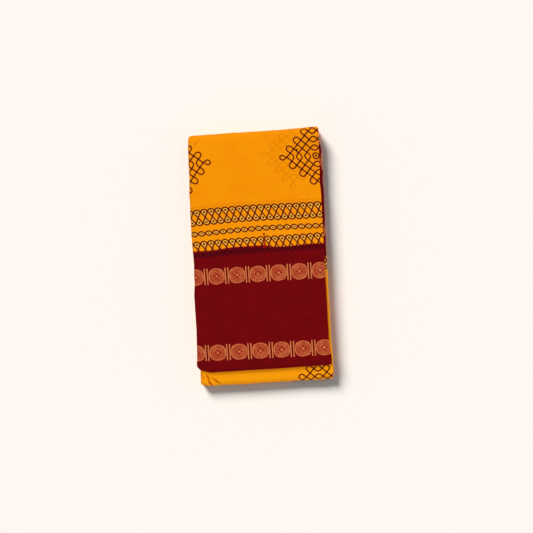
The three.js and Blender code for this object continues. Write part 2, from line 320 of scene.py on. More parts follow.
def cover_point(station, cell, flat_cells):
    """Distance across, height out and flat distance across of one cell line of the outer layer."""
    leaf = station["leaf"]
    top = leaf_height(leaf, station["y"], 0.0)
    spine = (top - SPINE_LIFT) / 2
    left, right = station["left"] + spine, station["right"] - EDGE_ROUND
    if cell <= SPINE_CELLS:
        turn = math.pi * (1.5 - cell / SPINE_CELLS)
        arc = spine * math.pi * (1 - cell / SPINE_CELLS)
        return left + spine * math.cos(turn), SPINE_LIFT + spine + spine * math.sin(turn), left - arc
    if cell >= SPINE_CELLS + flat_cells:
        share = (cell - SPINE_CELLS - flat_cells) / EDGE_CELLS
        turn = math.pi * (0.5 - share)
        out = top - EDGE_ROUND + EDGE_ROUND * math.sin(turn)
        return right + EDGE_ROUND * math.cos(turn), out, right + EDGE_ROUND * math.pi * share
    share = (cell - SPINE_CELLS) / flat_cells
    x = left + (right - left) * share
    return x, leaf_height(leaf, station["y"], share), x


def cloth_piece(name, bm, flat, thickness=0.0, even=True):
    """Make a piece of a bmesh. Its flat coordinates become the UV map, and a thickness becomes its wall."""
    uv = bm.loops.layers.uv.new(CLOTH_UV)
    for face in bm.faces:
        face.smooth = True
        for loop in face.loops:
            loop[uv].uv = loop.vert[flat].xy
    bm.verts.layers.float_vector.remove(flat)
    mesh = bpy.data.meshes.new(name)
    bm.to_mesh(mesh)
    bm.free()
    piece = bpy.data.objects.new(name, mesh)
    bpy.context.scene.collection.objects.link(piece)
    if thickness:
        wall = piece.modifiers.new("cloth thickness", "SOLIDIFY")
        wall.thickness = thickness * MM
        wall.offset = -1.0
        wall.use_even_offset = even
    print(name, len(mesh.polygons), "faces")
    return piece


def folded_sheet(name, stations, flat_cells=FLAT_CELLS):
    across, along = SPINE_CELLS + flat_cells + EDGE_CELLS, len(stations) - 1
    bm = bmesh.new()
    bmesh.ops.create_grid(bm, x_segments=across, y_segments=along, size=0.5)
    flat = bm.verts.layers.float_vector.new("flat")
    valley = bm.verts.layers.float.new(PAINTED_SHADE)
    for vert in bm.verts:
        cell, row = round((vert.co.x + 0.5) * across), round((vert.co.y + 0.5) * along)
        station = stations[row]
        x, out, flat_x = cover_point(station, cell, flat_cells)
        ease = smooth(cell, 0, SPINE_CELLS) * (1 - smooth(cell, SPINE_CELLS + flat_cells, across))
        out += ease * unevenness(station["leaf"], flat_x, station["along"])
        # Painted shade: deep creases get a value that darkens the cloth's colour there.
        deepest = min(crease_heights(station["leaf"], flat_x, station["along"]))
        vert[valley] = min(max(-deepest - CREASE_SHOWS, 0.0), 1.0)
        vert.co = place(station, x, out)
        vert[flat] = (flat_x * MM, station["along"] * MM, 0.0)
    return cloth_piece(name, bm, flat, CLOTH_THICKNESS)


front_border = folded_sheet("front_border_cloth", FRONT)
front_body = folded_sheet("front_body_cloth", FRONT_BODY)
back_body = folded_sheet("back_body_cloth", BACK, BACK_CELLS)
lower_body = folded_sheet("lower_body_cloth", LOWER_BODY)
inner_border = folded_sheet("inner_border_cloth", INNER)

# %% [markdown]
# The hidden layers are one thick pile that follows the same path. On the real saree they are ninety layers,
# far too many to model for what shows of them: fine ridges on the right, each a turn of two or three
# layers, which stand out unevenly and show other parts of the print. The section is a closed ring, so a
# grid is rolled up into a tube along the path: the ring's two ends are merged, and the open ends are
# filled.

# %% The hidden layers
RIDGES = [
    (0.13, 0.9), (0.08, 2.2), (0.15, 1.1), (0.10, 2.7), (0.17, 0.4), (0.09, 2.2), (0.12, 1.2), (0.16, 1.9),
]
RIDGE_POINTS = 5
RIDGE_WANDER = 1.6
# Painted shade: how dark the ends of each ridge and the groove under it are drawn.
RIDGE_SHADE, GROOVE_SHADE = 0.35, 0.9
GROOVE_DEPTH = 2.6
UNDER = 0.9
UNDER_CREASES = 3.2
HEM_BACK = 4.0
LAYER_SHIFT = 37.0


def layer_ring(station):
    """A section of the hidden layers. Each point is x, height out, shift of the print and painted shade."""
    top = leaf_height(station["leaf"], station["y"], 0.0)
    spine = (top - SPINE_LIFT) / 2
    left, right = station["left"] + spine, station["right"] - EDGE_ROUND
    inner = spine - UNDER
    ring = [(left + 1.2, 0.05), (left + 1.2, SPINE_LIFT + UNDER)]
    for i in range(9):
        turn = math.pi * (1.5 - i / 8)
        ring.append((left + inner * math.cos(turn), SPINE_LIFT + spine + inner * math.sin(turn)))
    for share in (0.02, 0.15, 0.3, 0.5, 0.7, 0.85, 0.97):
        height = leaf_height(station["leaf"], station["y"], share) - UNDER_CREASES
        ring.append((left + (right - left) * share, height))
    ring += [(right - 1.5, top - UNDER_CREASES), (right - 0.3, top - 2 * EDGE_ROUND + 0.4)]
    ring = [point + (0.0, 0.0) for point in ring]
    return ring + ridge_points(station, top - 2 * EDGE_ROUND - 0.05) + [(right - 4.0, 0.05, 0.0, 0.0)]


def ridge_points(station, below):
    """The folded edges down the right side: half rounds, with a groove in painted shade under each."""
    points, high = [], below
    for number, (share, back) in enumerate(RIDGES):
        low = high - share * below
        shift = LAYER_SHIFT * (number + 1)
        wander = noise.noise(Vector((number * 7.3 + 0.4, station["along"] / 36, 1.7)))
        crest = station["right"] - back + RIDGE_WANDER * wander
        round_off = 0.5 * (high - low)
        for i in range(RIDGE_POINTS):
            turn = math.pi * (i + 0.3) / (RIDGE_POINTS - 0.4)
            out = (high + low) / 2 + round_off * math.cos(turn)
            # The first and last point of a ridge, where it turns into the groove, get painted shade.
            shade = RIDGE_SHADE if i in (0, RIDGE_POINTS - 1) else 0.0
            points.append((crest - round_off + round_off * math.sin(turn), out, shift, shade))
        points.append((crest - GROOVE_DEPTH, low, shift, GROOVE_SHADE))
        high = low
    return points


def folded_layers_piece(name, stations):
    rings = [layer_ring(station) for station in stations]
    around, along = len(rings[0]), len(stations) - 1
    bm = bmesh.new()
    bmesh.ops.create_grid(bm, x_segments=around, y_segments=along, size=0.5)
    flat = bm.verts.layers.float_vector.new("flat")
    valley = bm.verts.layers.float.new(PAINTED_SHADE)
    for vert in bm.verts:
        point, row = round((vert.co.x + 0.5) * around), round((vert.co.y + 0.5) * along)
        x, out, shift, vert[valley] = rings[row][point % around]
        vert.co = place(stations[row], x, out)
        vert[flat] = ((x + shift) * MM, stations[row]["along"] * MM, 0.0)
    bmesh.ops.remove_doubles(bm, verts=bm.verts, dist=1e-6)
    bmesh.ops.holes_fill(bm, edges=[edge for edge in bm.edges if edge.is_boundary], sides=0)
    return cloth_piece(name, bm, flat)


front_layers = [s for s in FRONT if s["y"] > FRONT_HEM_Y + HEM_BACK]
PILE = joined(front_layers, FRONT_BODY, BACK, LOWER_BODY, INNER)
layers = folded_layers_piece("folded_layers_pile", PILE)

# %% [markdown]
# Where the front leaf ends, the selvedges of its hidden layers lie on each other like the pages of a book.
# They could be grooves in the pile's end, but strips cast real shadows on each other. Each is a thin grid
# that is a little shorter or longer than its neighbours.

# %% The front leaf's selvedges
SELVEDGES = 13
SELVEDGE_COLUMNS, SELVEDGE_ROWS = 60, 4
SELVEDGE_THICKNESS = 0.32
SELVEDGE_DEPTH = HEM_BACK + 3
HEM_STEPS, HEM_WANDER = 1.7, 1.1


def selvedge_strips(name):
    bm = bmesh.new()
    flat = bm.verts.layers.float_vector.new("flat")
    for layer in range(SELVEDGES):
        strip = bmesh.ops.create_grid(bm, x_segments=SELVEDGE_COLUMNS, y_segments=SELVEDGE_ROWS, size=0.5)
        for vert in strip["verts"]:
            share, depth = vert.co.x + 0.5, vert.co.y + 0.5
            wander = noise.noise(Vector((share * 5, layer * 3.7, 0.4)))
            hem = FRONT_HEM_Y + 0.2 + HEM_STEPS * abs(math.sin(layer * 2.1)) + HEM_WANDER * wander
            y = hem + depth * SELVEDGE_DEPTH
            station = flat_station("front", y, y)
            left, right = station["left"] + 4.0, station["right"] - 1.0 - abs(math.sin(layer * 1.7))
            x = left + (right - left) * share
            room = leaf_height("front", y, share) - UNDER - 0.5
            out = 0.35 + room * layer / (SELVEDGES - 1) + 0.12 * wander
            vert.co = place(station, x, out)
            vert[flat] = (x * MM, y * MM, 0.0)
    return cloth_piece(name, bm, flat, SELVEDGE_THICKNESS, even=False)


selvedges = selvedge_strips("front_selvedge_layers")
print("selvedges:", SELVEDGES)

# %% [markdown]
# The print and weave are drawn by shader nodes on the flat coordinates. A picture could be printed on them
# too, but it would blur close by, and a pattern with a rule is shorter to write down. A few small helpers
# keep the node code readable: each adds one or a few nodes and returns an output.

# %% Shader helpers
FLOAT, COLOUR, VECTOR = "NodeSocketFloat", "NodeSocketColor", "NodeSocketVector"


class Nodes:
    """A node tree with short ways to add the nodes that the cloth needs."""

    def __init__(self, tree):
        self.tree = tree

    def add(self, kind, *values, **settings):
        node = self.tree.nodes.new(kind)
        for key, value in settings.items():
            setattr(node, key, value)
        for socket, value in zip(node.inputs, values):
            self.give(socket, value)
        return node

    def give(self, socket, value):
        if isinstance(value, bpy.types.NodeSocket):
            self.tree.links.new(value, socket)
        elif value is not None:
            socket.default_value = value

    def math(self, operation, *values):
        return self.add("ShaderNodeMath", *values, operation=operation).outputs[0]

    def plus(self, one, other):
        return self.math("ADD", one, other)

    def minus(self, one, other):
        return self.math("SUBTRACT", one, other)

    def times(self, one, other):
        return self.math("MULTIPLY", one, other)

    def away(self, one, other):
        """How far one value is from the other."""
        return self.math("ABSOLUTE", self.minus(one, other))

    def length(self, x, y):
        """How far the point x, y is from the origin."""
        squares = (self.times(value, value) for value in (x, y))
        return self.math("SQRT", self.plus(*squares))

    def from_curve(self, height, curve, slope):
        """Distance to a curve, which is shorter than the height above it where the curve is steep."""
        steep = self.math("SQRT", self.math("MULTIPLY_ADD", slope, slope, 1.0))
        return self.math("DIVIDE", self.away(height, curve), steep)

    def point(self, x, y):
        return self.add("ShaderNodeCombineXYZ", x, y, 0.0).outputs[0]

    def band(self, value, low, high):
        """1 where value is past high, 0 before low, and a soft step between."""
        settings = {"interpolation_type": "SMOOTHSTEP"}
        return self.add("ShaderNodeMapRange", value, low, high, 0.0, 1.0, **settings).outputs[0]

    def line(self, distance, half_width, blur):
        """1 on a line, 0 away from it, with a soft edge."""
        return self.band(distance, half_width + blur, half_width - blur)

    def noise(self, vector, scale, detail=2.0, roughness=0.5):
        node = self.add("ShaderNodeTexNoise", vector)
        node.inputs["Scale"].default_value = scale
        node.inputs["Detail"].default_value = detail
        node.inputs["Roughness"].default_value = roughness
        return node.outputs[0]

    def mix(self, share, one, other, blend="MIX"):
        node = self.add("ShaderNodeMix", data_type="RGBA", blend_type=blend)
        for socket, value in zip((node.inputs[0], node.inputs[6], node.inputs[7]), (share, one, other)):
            self.give(socket, value)
        return node.outputs[2]

    def stain(self, colour, dye, mask, strength):
        """The colour with some dye over it where the mask is 1."""
        return self.mix(self.times(mask, strength), colour, dye)

    def pick(self, test, if_true, if_false):
        """if_true where test is 1 and if_false where it is 0."""
        gap = self.minus(if_true, if_false)
        return self.math("MULTIPLY_ADD", gap, test, if_false)


def new_group(name, inputs, outputs):
    """A shader node group: its Nodes, and its inputs by name."""
    tree = bpy.data.node_groups.new(name, "ShaderNodeTree")
    for title, kind in inputs:
        tree.interface.new_socket(title, in_out="INPUT", socket_type=kind)
    for title, kind in outputs:
        tree.interface.new_socket(title, in_out="OUTPUT", socket_type=kind)
    nodes = Nodes(tree)
    source = tree.nodes.new("NodeGroupInput")
    return nodes, {title: source.outputs[title] for title, _ in inputs}


def end_group(nodes, results):
    sink = nodes.tree.nodes.new("NodeGroupOutput")
    for title, value in results.items():
        nodes.give(sink.inputs[title], value)
    return nodes.tree


def use_group(nodes, tree, **values):
    node = nodes.add("ShaderNodeGroup", node_tree=tree)
    for title, value in values.items():
        nodes.give(node.inputs[title], value)
    return node


print("node helpers:", [name for name in vars(Nodes) if not name.startswith("_")])

# %% [markdown]
# A kolam is drawn as one looping line round a lattice of dots. Curves laid out by hand could follow it, but
# its rule is simple: diagonal lines on a square lattice, opened into eyes along both axes, joined in loops
# outside. The motif is the same in all eight octants, so the distance to its nearest line is worked out
# once, for a point folded into one octant. The lattice's step is the unit of length here.

# %% The kolam motif
HALF_STEP = math.sqrt(0.5)
EYE_ARC, EYES_END = 0.637, 6.0
CENTRE_RING, RING_REACH = 0.72, 1.05
MOTIF_RIM = 7 * HALF_STEP
LOOP_CAP = 5.75
TIP, TIP_LEAN = 7.0, math.radians(30.6)
TIP_END, TIP_RADIUS, TIP_STRAIGHT = 1.12, 0.57, 0.964
CENTRE_DOT = 0.26
NO_LINE = 9.0


def kolam_eyes(n, p, q):
    """Distance to the eyes along an axis, two arcs about each even place."""
    turn = n.times(q, math.pi / 2)
    arc = n.times(n.math("COSINE", turn), EYE_ARC)
    return n.from_curve(n.math("PINGPONG", p, 1.0), arc, n.math("SINE", turn))


def kolam_tip(n, p, q):
    """Distance to the drop at a tip, two straight lines joined by a round end."""
    beyond = n.minus(p, TIP)
    sin, cos = math.sin(TIP_LEAN), math.cos(TIP_LEAN)
    forward = n.math("MULTIPLY_ADD", q, sin, n.times(beyond, cos))
    aside = n.math("MULTIPLY_ADD", q, cos, n.times(beyond, -sin))
    end = n.away(n.length(n.minus(beyond, TIP_END), q), TIP_RADIUS)
    return n.pick(n.math("GREATER_THAN", forward, TIP_STRAIGHT), end, n.math("ABSOLUTE", aside))


def kolam_group():
    n, given = new_group(
        "kolam motif", [("X", FLOAT), ("Y", FLOAT)],
        [("Distance", FLOAT), ("Crossing", FLOAT), ("Dot", FLOAT)],
    )
    i, j = n.math("ABSOLUTE", given["X"]), n.math("ABSOLUTE", given["Y"])
    p, q = n.math("MAXIMUM", i, j), n.math("MINIMUM", i, j)
    a = n.times(n.minus(p, q), HALF_STEP)
    b = n.times(n.plus(p, q), HALF_STEP)
    radius = n.length(p, q)
    # Inside: the nearest odd diagonal of each family, the eyes along the axis, and a ring in the centre
    line_a, line_b = (n.away(n.math("PINGPONG", value, 2 * HALF_STEP), HALF_STEP) for value in (a, b))
    in_eyes = n.times(n.math("LESS_THAN", q, 1.0), n.math("LESS_THAN", p, EYES_END))
    inside = n.pick(in_eyes, kolam_eyes(n, p, q), n.math("MINIMUM", line_a, line_b))
    inside = n.pick(n.math("LESS_THAN", radius, RING_REACH), n.away(radius, CENTRE_RING), inside)
    # Outside: pairs of lines joined by half circles, the rim, and a drop at each tip
    from_pair = n.math("MINIMUM", a, n.away(a, 4 * HALF_STEP))
    side = n.away(from_pair, HALF_STEP)
    past = n.math("MAXIMUM", n.minus(b, LOOP_CAP), 0.0)
    cap = n.away(n.length(from_pair, past), HALF_STEP)
    loops = n.pick(n.math("GREATER_THAN", b, LOOP_CAP), cap, side)
    past_corner = n.math("GREATER_THAN", a, MOTIF_RIM)
    rim = n.math("MULTIPLY_ADD", past_corner, NO_LINE, n.away(b, MOTIF_RIM))
    outside = n.math("MINIMUM", n.math("MINIMUM", loops, kolam_tip(n, p, q)), rim)
    is_inside = n.math("LESS_THAN", b, MOTIF_RIM)
    crossing = n.pick(is_inside, n.math("MAXIMUM", line_a, line_b), n.math("MAXIMUM", side, rim))
    return end_group(n, {
        "Distance": n.pick(is_inside, inside, outside),
        "Crossing": n.math("MULTIPLY_ADD", in_eyes, NO_LINE, crossing),
        "Dot": n.minus(radius, CENTRE_DOT),
    })


KOLAM = kolam_group()
print("kolam nodes:", len(KOLAM.nodes))

# %% [markdown]
# The chain bands are looping lines too. Two pairs of waves, a quarter turn apart, cross into a row of drops
# above and below, with a dot in each drop. The thin chain between them is one pair of waves with small
# eyes. As waves they repeat by themselves, where drawn drops would have to be set side by side.

# %% The chains
CHAIN_PITCH = 11.35
DROP_DOT = 0.64
EYE_SWING = 3.5


def chain_group():
    n, given = new_group(
        "drop chain", [("X", FLOAT), ("Y", FLOAT), ("Swing", FLOAT)],
        [("Distance", FLOAT), ("Crossing", FLOAT), ("Dot", FLOAT), ("Drop", FLOAT), ("Band", FLOAT)],
    )
    height = n.math("ABSOLUTE", given["Y"])
    rate = math.pi / (2 * CHAIN_PITCH)
    turn = n.times(given["X"], rate)
    swings, distances = [], []
    for wave, slope in (("SINE", "COSINE"), ("COSINE", "SINE")):
        swing = n.math("ABSOLUTE", n.times(n.math(wave, turn), given["Swing"]))
        steep = n.times(n.times(n.math(slope, turn), given["Swing"]), rate)
        distances.append(n.from_curve(height, swing, steep))
        swings.append(swing)
    band = n.math("LESS_THAN", height, n.math("MAXIMUM", *swings))
    drop = n.times(band, n.math("GREATER_THAN", height, n.math("MINIMUM", *swings)))
    middle = n.math("SNAP", n.plus(given["X"], CHAIN_PITCH / 2), CHAIN_PITCH)
    above = n.minus(height, n.times(given["Swing"], DROP_DOT))
    dot = n.length(n.minus(given["X"], middle), above)
    nearest, crossing = n.math("MINIMUM", *distances), n.math("MAXIMUM", *distances)
    results = {"Distance": nearest, "Crossing": crossing, "Dot": dot, "Drop": drop, "Band": band}
    return end_group(n, results)


def eye_chain_group():
    n, given = new_group(
        "eye chain", [("X", FLOAT), ("Y", FLOAT)], [("Distance", FLOAT), ("Dot", FLOAT), ("Eye", FLOAT)]
    )
    height = n.math("ABSOLUTE", given["Y"])
    rate = math.pi / CHAIN_PITCH
    turn = n.times(given["X"], rate)
    swing = n.math("ABSOLUTE", n.times(n.math("SINE", turn), EYE_SWING))
    steep = n.times(n.math("COSINE", turn), EYE_SWING * rate)
    middle = n.plus(n.math("SNAP", given["X"], CHAIN_PITCH), CHAIN_PITCH / 2)
    dot = n.length(n.minus(given["X"], middle), given["Y"])
    eye = n.math("LESS_THAN", height, swing)
    return end_group(n, {"Distance": n.from_curve(height, swing, steep), "Dot": dot, "Eye": eye})


CHAIN = chain_group()
EYE_CHAIN = eye_chain_group()
print("chain pitch mm:", CHAIN_PITCH)

# %% [markdown]
# The border's medallions are woven with an extra copper-coloured thread. Each is a round with a scalloped
# rim, a small flower in its middle and woven specks, and two thin bars stand between neighbours. They could
# be raised discs, but an extra thread is hardly thicker than the cloth, so they are part of its colour and
# bump. `Metal` says where the thread lies, and `Tone` how light it is.

# %% The woven medallions
COIN_WIDTH, COIN_HEIGHT = 25.6, 26.8
SCALLOPS, SCALLOP_DEPTH = 8.0, 0.035
RING_RATE, LATTICE_RATE = 31.0, 2.4
BAR_PLACE, BAR_HALF_WIDTH, BAR_HALF_HEIGHT = 2.25, 0.95, 13.0


def medallion_tone(n, x, y, u, v, edge, grain, gilt):
    """How light the thread is: rings, a lattice and specks, a bright rim and heart, and a small flower."""
    rings = n.math("SINE", n.math("MULTIPLY_ADD", edge, RING_RATE, n.times(grain, 4.0)))
    diagonals = n.plus(x, y), n.minus(x, y)
    waves = (n.math("SINE", n.times(way, LATTICE_RATE)) for way in diagonals)
    far = n.math("MAXIMUM", n.math("ABSOLUTE", u), n.math("ABSOLUTE", v))
    near = n.math("MINIMUM", n.math("ABSOLUTE", u), n.math("ABSOLUTE", v))
    heart = n.line(n.length(u, v), 0.1, 0.06)
    petals = n.line(n.plus(n.away(far, 0.27), near), 0.1, 0.05)
    diamond = n.line(n.away(n.plus(far, near), 0.3), 0.05, 0.05)
    tone = 0.36
    for part, share in (
        (rings, 0.08),
        (gilt, 0.12),
        (n.times(*waves), n.math("MULTIPLY_ADD", gilt, 0.28, 0.22)),
        (grain, 2.1),
        (n.line(n.away(edge, 0.93), 0.05, 0.04), n.math("MULTIPLY_ADD", grain, 1.2, 0.26)),
        (heart, 0.5),
        (petals, -0.9),
        (diamond, -0.12),
    ):
        tone = n.math("MULTIPLY_ADD", part, share, tone)
    return tone


def medallion_group():
    n, given = new_group(
        "woven medallions", [("X", FLOAT), ("Y", FLOAT), ("Pitch", FLOAT), ("Wide", FLOAT)],
        [("Metal", FLOAT), ("Tone", FLOAT)],
    )
    half_pitch = n.times(given["Pitch"], 0.5)
    centre = n.math("SNAP", n.plus(given["X"], half_pitch), given["Pitch"])
    x, y = n.minus(given["X"], centre), given["Y"]
    u, v = n.math("DIVIDE", n.times(x, 2.0), given["Wide"]), n.times(y, 2 / COIN_HEIGHT)
    # A circle drawn a little square, with scallops round it
    square = n.math("SQRT", n.length(n.times(u, u), n.times(v, v)))
    radius = n.math("MULTIPLY_ADD", square, 0.3, n.times(n.length(u, v), 0.7))
    angle = n.times(n.math("ARCTAN2", v, u), SCALLOPS)
    edge = n.math("MULTIPLY_ADD", n.math("ABSOLUTE", n.math("SINE", angle)), SCALLOP_DEPTH, radius)
    grain = n.minus(n.noise(n.point(x, y), 0.8, detail=3.0), 0.5)
    gilt = n.band(n.noise(n.point(given["X"], y), 0.085, detail=1.0), 0.42, 0.68)
    from_middle = n.minus(half_pitch, n.math("ABSOLUTE", x))
    bar = n.line(n.away(from_middle, BAR_PLACE), BAR_HALF_WIDTH, 0.35)
    bar = n.times(bar, n.line(n.math("ABSOLUTE", y), BAR_HALF_HEIGHT, 0.5))
    tone = medallion_tone(n, x, y, u, v, edge, grain, gilt)
    return end_group(n, {
        "Metal": n.math("MAXIMUM", n.line(edge, 0.985, 0.03), bar),
        "Tone": n.pick(bar, n.math("MULTIPLY_ADD", grain, 0.8, 0.74), tone),
    })


MEDALLIONS = medallion_group()
print("medallion size mm:", COIN_WIDTH, "x", COIN_HEIGHT)

# %% [markdown]
# Plain weave: two sets of threads that cross, each thread a little uneven in width and colour. Real threads
# would be millions of faces. Two crossed waves give a fine height for the bump instead, and stretched noise
# gives slow streaks along both sets of threads, which is how handloom cotton looks.

# %% The weave
THREAD = 0.42
STREAK_STRETCHES = ((1.4, 0.02), (0.02, 1.2))


def weave_group():
    n, given = new_group(
        "plain weave", [("X", FLOAT), ("Y", FLOAT)], [("Height", FLOAT), ("Streak", FLOAT)]
    )
    waves = (n.math("SINE", n.times(given[way], math.pi / THREAD)) for way in "XY")
    streaks = []
    for wide, tall in STREAK_STRETCHES:
        spot = n.point(n.times(given["X"], wide), n.times(given["Y"], tall))
        streaks.append(n.noise(spot, 1.0, detail=4.0, roughness=0.6))
    streak = n.minus(n.plus(*streaks), 1.0)
    return end_group(n, {"Height": n.times(*waves), "Streak": streak})


WEAVE = weave_group()
print("thread pitch mm:", THREAD)

# %% [markdown]
# The dyes. A body of mustard with lighter streaks, a border of maroon, one dark ink that looks different on
# each of them, and copper for the woven thread. The lighter mustard is also painted light on the middle
# leaf.
# They are written as screen colours, which are easy to compare with a photo, and turned into the linear
# colours that shaders work in.

# %% Dyes


def linear(red, green, blue):
    """An sRGB colour of 0 to 255 as linear RGBA."""
    def channel(value):
        value /= 255
        return value / 12.92 if value <= 0.04045 else ((value + 0.055) / 1.055) ** 2.4
    return (channel(red), channel(green), channel(blue), 1.0)


MUSTARD, MUSTARD_SHADE, MUSTARD_LIGHT = linear(250, 149, 0), linear(246, 142, 0), linear(255, 162, 10)
MAROON, MAROON_DARK, MAROON_RED = linear(114, 2, 8), linear(105, 2, 9), linear(122, 3, 8)
FRINGE, HEM_DARK, HEM_RED = linear(160, 6, 2), linear(78, 0, 6), linear(150, 4, 14)
INK, INK_ON_MAROON, INK_CROSSING = linear(90, 6, 12), linear(62, 0, 20), linear(42, 0, 6)
PALE_PRINT, PLUM_PRINT, GHOST_INK = linear(255, 190, 78), linear(84, 2, 20), linear(212, 112, 0)
COPPER_DARK, COPPER, COPPER_LIGHT = linear(136, 18, 14), linear(190, 76, 44), linear(230, 146, 86)
THREAD_RED = linear(150, 10, 4)
print("linear mustard:", [round(c, 3) for c in MUSTARD])

# %% [markdown]
# The cloth before printing. A saree has the same border on both sides, so `near` folds the far border onto
# the near one, and one rule dyes both. The border line wanders a little on the front leaf, where a loose
# red fringe of maroon yarn shows along it, and each selvedge ends in a dark line.

# %% The plain cloth
MIRROR = BORDER_TOP_Y + INNER_BORDER_ALONG
FRONT_LEAF_END, MIDDLE_LEAF_START = 200.0, 600.0
PAINTED_LIGHT_FROM = (565, 605)
BORDER_LEFT_RISE = 1.5
BORDER_RISE = ((3.5, -82, -30), (-3.75, 6, 30), (1.6, 44, 84))


def plain_cloth(n, x, y, place_mm, near, wobble, streak):
    """Colour before printing, how much of the cloth is body, and how much is the red fringe between."""
    streaks = n.band(streak, -0.1, 0.4)
    body = n.mix(n.band(n.noise(place_mm, 0.02, detail=2.0), 0.3, 0.7), MUSTARD_SHADE, MUSTARD)
    body = n.stain(body, MUSTARD_LIGHT, streaks, 0.7)
    # Painted light: from the lower fold on, the middle leaf's strip below the hem is painted lighter.
    body = n.stain(body, MUSTARD_LIGHT, n.band(y, *PAINTED_LIGHT_FROM), 0.75)
    border = n.mix(n.band(n.noise(place_mm, 0.035, detail=3.0), 0.35, 0.7), MAROON, MAROON_DARK)
    border = n.stain(border, MAROON_RED, streaks, 0.6)
    rise = BORDER_LEFT_RISE
    for height, start, end in BORDER_RISE:
        rise = n.math("MULTIPLY_ADD", n.band(x, start, end), height, rise)
    rise = n.times(rise, n.math("LESS_THAN", y, FRONT_LEAF_END))
    above = n.minus(n.math("MULTIPLY_ADD", wobble, 1.2, near), BORDER_TOP_Y)
    seam = n.minus(above, rise)
    is_body = n.band(seam, -0.35, 0.35)
    fringe = n.line(n.away(seam, -1.3), 1.0, 1.1)
    colour = n.stain(n.mix(is_body, border, body), FRINGE, fringe, 0.8)
    colour = n.stain(colour, HEM_DARK, n.line(n.away(near, FRONT_HEM_Y + 3.0), 0.9, 0.7), 0.55)
    colour = n.stain(colour, HEM_RED, n.line(near, FRONT_HEM_Y + 1.3, 0.5), 0.8)
    return colour, is_body, fringe


print("far border mirrored about, mm along:", round(MIRROR / 2, 1))

# %% [markdown]
# The dark print: rows of kolam motifs, two bands of drops and the eye chain between them. Hand printing is
# never quite square, so the motifs lean and the bands tilt, bend and slant a little, with numbers measured
# on the photo. A paler print of the same lines stands for the layer underneath that shows through. Only the
# band on the border line is printed on both sides, because the photo shows plain mustard beyond it on the
# inner leaf.

# %% The line print
KOLAM_UNIT = 6.6
KOLAM_PITCH = 225.5
KOLAM_REACH = 80.0
KOLAM_ROWS = [(100.2, 155.3), (-12.0, 382.5), (86.5, 610.3)]
KOLAM_LEAN = (-0.0011, 0.129)
KOLAM_SIDE, KOLAM_DROOP, KOLAM_GROWTH = 79.0, -0.10, 0.03
GHOST_ROW, GHOST_LEAN = (70.4, 163.1), (0.0, -0.18)
INK_SPOTS = ((70.2, 166.6, 1.7), (-12.0, 104.4, 0.5))
CHAIN_SLANT = 0.19
DROP_SWING = 12.4
GHOST_CHAIN_RISE = 5.5
DROP_BANDS = (
    ("body", 69.82, 0.0115, 1.006, 2.1, (1.18, 0.028, -20.0)),
    ("border", 19.25, 0.024, 1.006, 5.1, (1.15, 0.022, -45.0)),
)
EYE_BAND = (44.1, 0.0115, 1.0, 3.1, (1.6, 0.022, 0.0))


def kolam_ink(n, x, y, centre, half_width, blur, lean=KOLAM_LEAN):
    """Ink of one row of kolam motifs, which repeats across the cloth, and its darker crossings."""
    away = n.minus(y, centre[1])
    bend = n.math("MULTIPLY_ADD", away, *lean)
    slanted = n.math("MULTIPLY_ADD", away, bend, n.minus(x, centre[0]))
    motif = n.math("SNAP", n.plus(slanted, KOLAM_PITCH / 2), KOLAM_PITCH)
    past_side = n.math("MINIMUM", n.plus(x, KOLAM_SIDE), 0.0)
    turned = n.math("MULTIPLY_ADD", past_side, KOLAM_DROOP, away)
    turned = n.math("MULTIPLY_ADD", n.math("MAXIMUM", turned, 0.0), KOLAM_GROWTH, turned)
    local = n.minus(slanted, motif)
    across, up = (n.math("DIVIDE", value, KOLAM_UNIT) for value in (local, turned))
    kolam = use_group(n, KOLAM, X=across, Y=up)
    distance, crossing, dot = (n.times(output, KOLAM_UNIT) for output in kolam.outputs)
    lines = n.line(distance, half_width, blur)
    crossings = n.line(crossing, half_width, 2 * blur)
    dot = n.line(dot, 0.0, blur)
    return n.math("MAXIMUM", lines, dot), n.math("MAXIMUM", crossings, dot)


def chain_place(n, x, height, level, tilt, stretch, start, bend):
    """Where a point lies along a chain band, and how high above the band's middle line."""
    swell, rate, middle = bend
    bent = n.math("COSINE", n.times(n.minus(x, middle), rate))
    rise = n.math("MULTIPLY_ADD", x, tilt, n.times(bent, swell))
    height = n.minus(n.minus(height, level), rise)
    return n.math("MULTIPLY_ADD", height, CHAIN_SLANT, n.math("MULTIPLY_ADD", x, stretch, start)), height


def print_kolams(n, x, y, prints):
    """The rows of kolam motifs, the faint one between them, and two small spots of ink."""
    for centre in KOLAM_ROWS:
        here = n.line(n.away(y, centre[1]), KOLAM_REACH, 1.0)
        ink, crossing = kolam_ink(n, x, y, centre, 1.08, 0.3)
        prints["lines"].append(n.times(ink, here))
        prints["crossings"].append(n.times(crossing, here))
    for spot_x, spot_y, size in INK_SPOTS:
        away = n.length(n.minus(x, spot_x), n.minus(y, spot_y))
        prints["crossings"].append(n.line(away, size, 0.4))
    ghost, _ = kolam_ink(n, x, y, GHOST_ROW, 0.75, 0.5, GHOST_LEAN)
    prints["ghosts"].append(ghost)


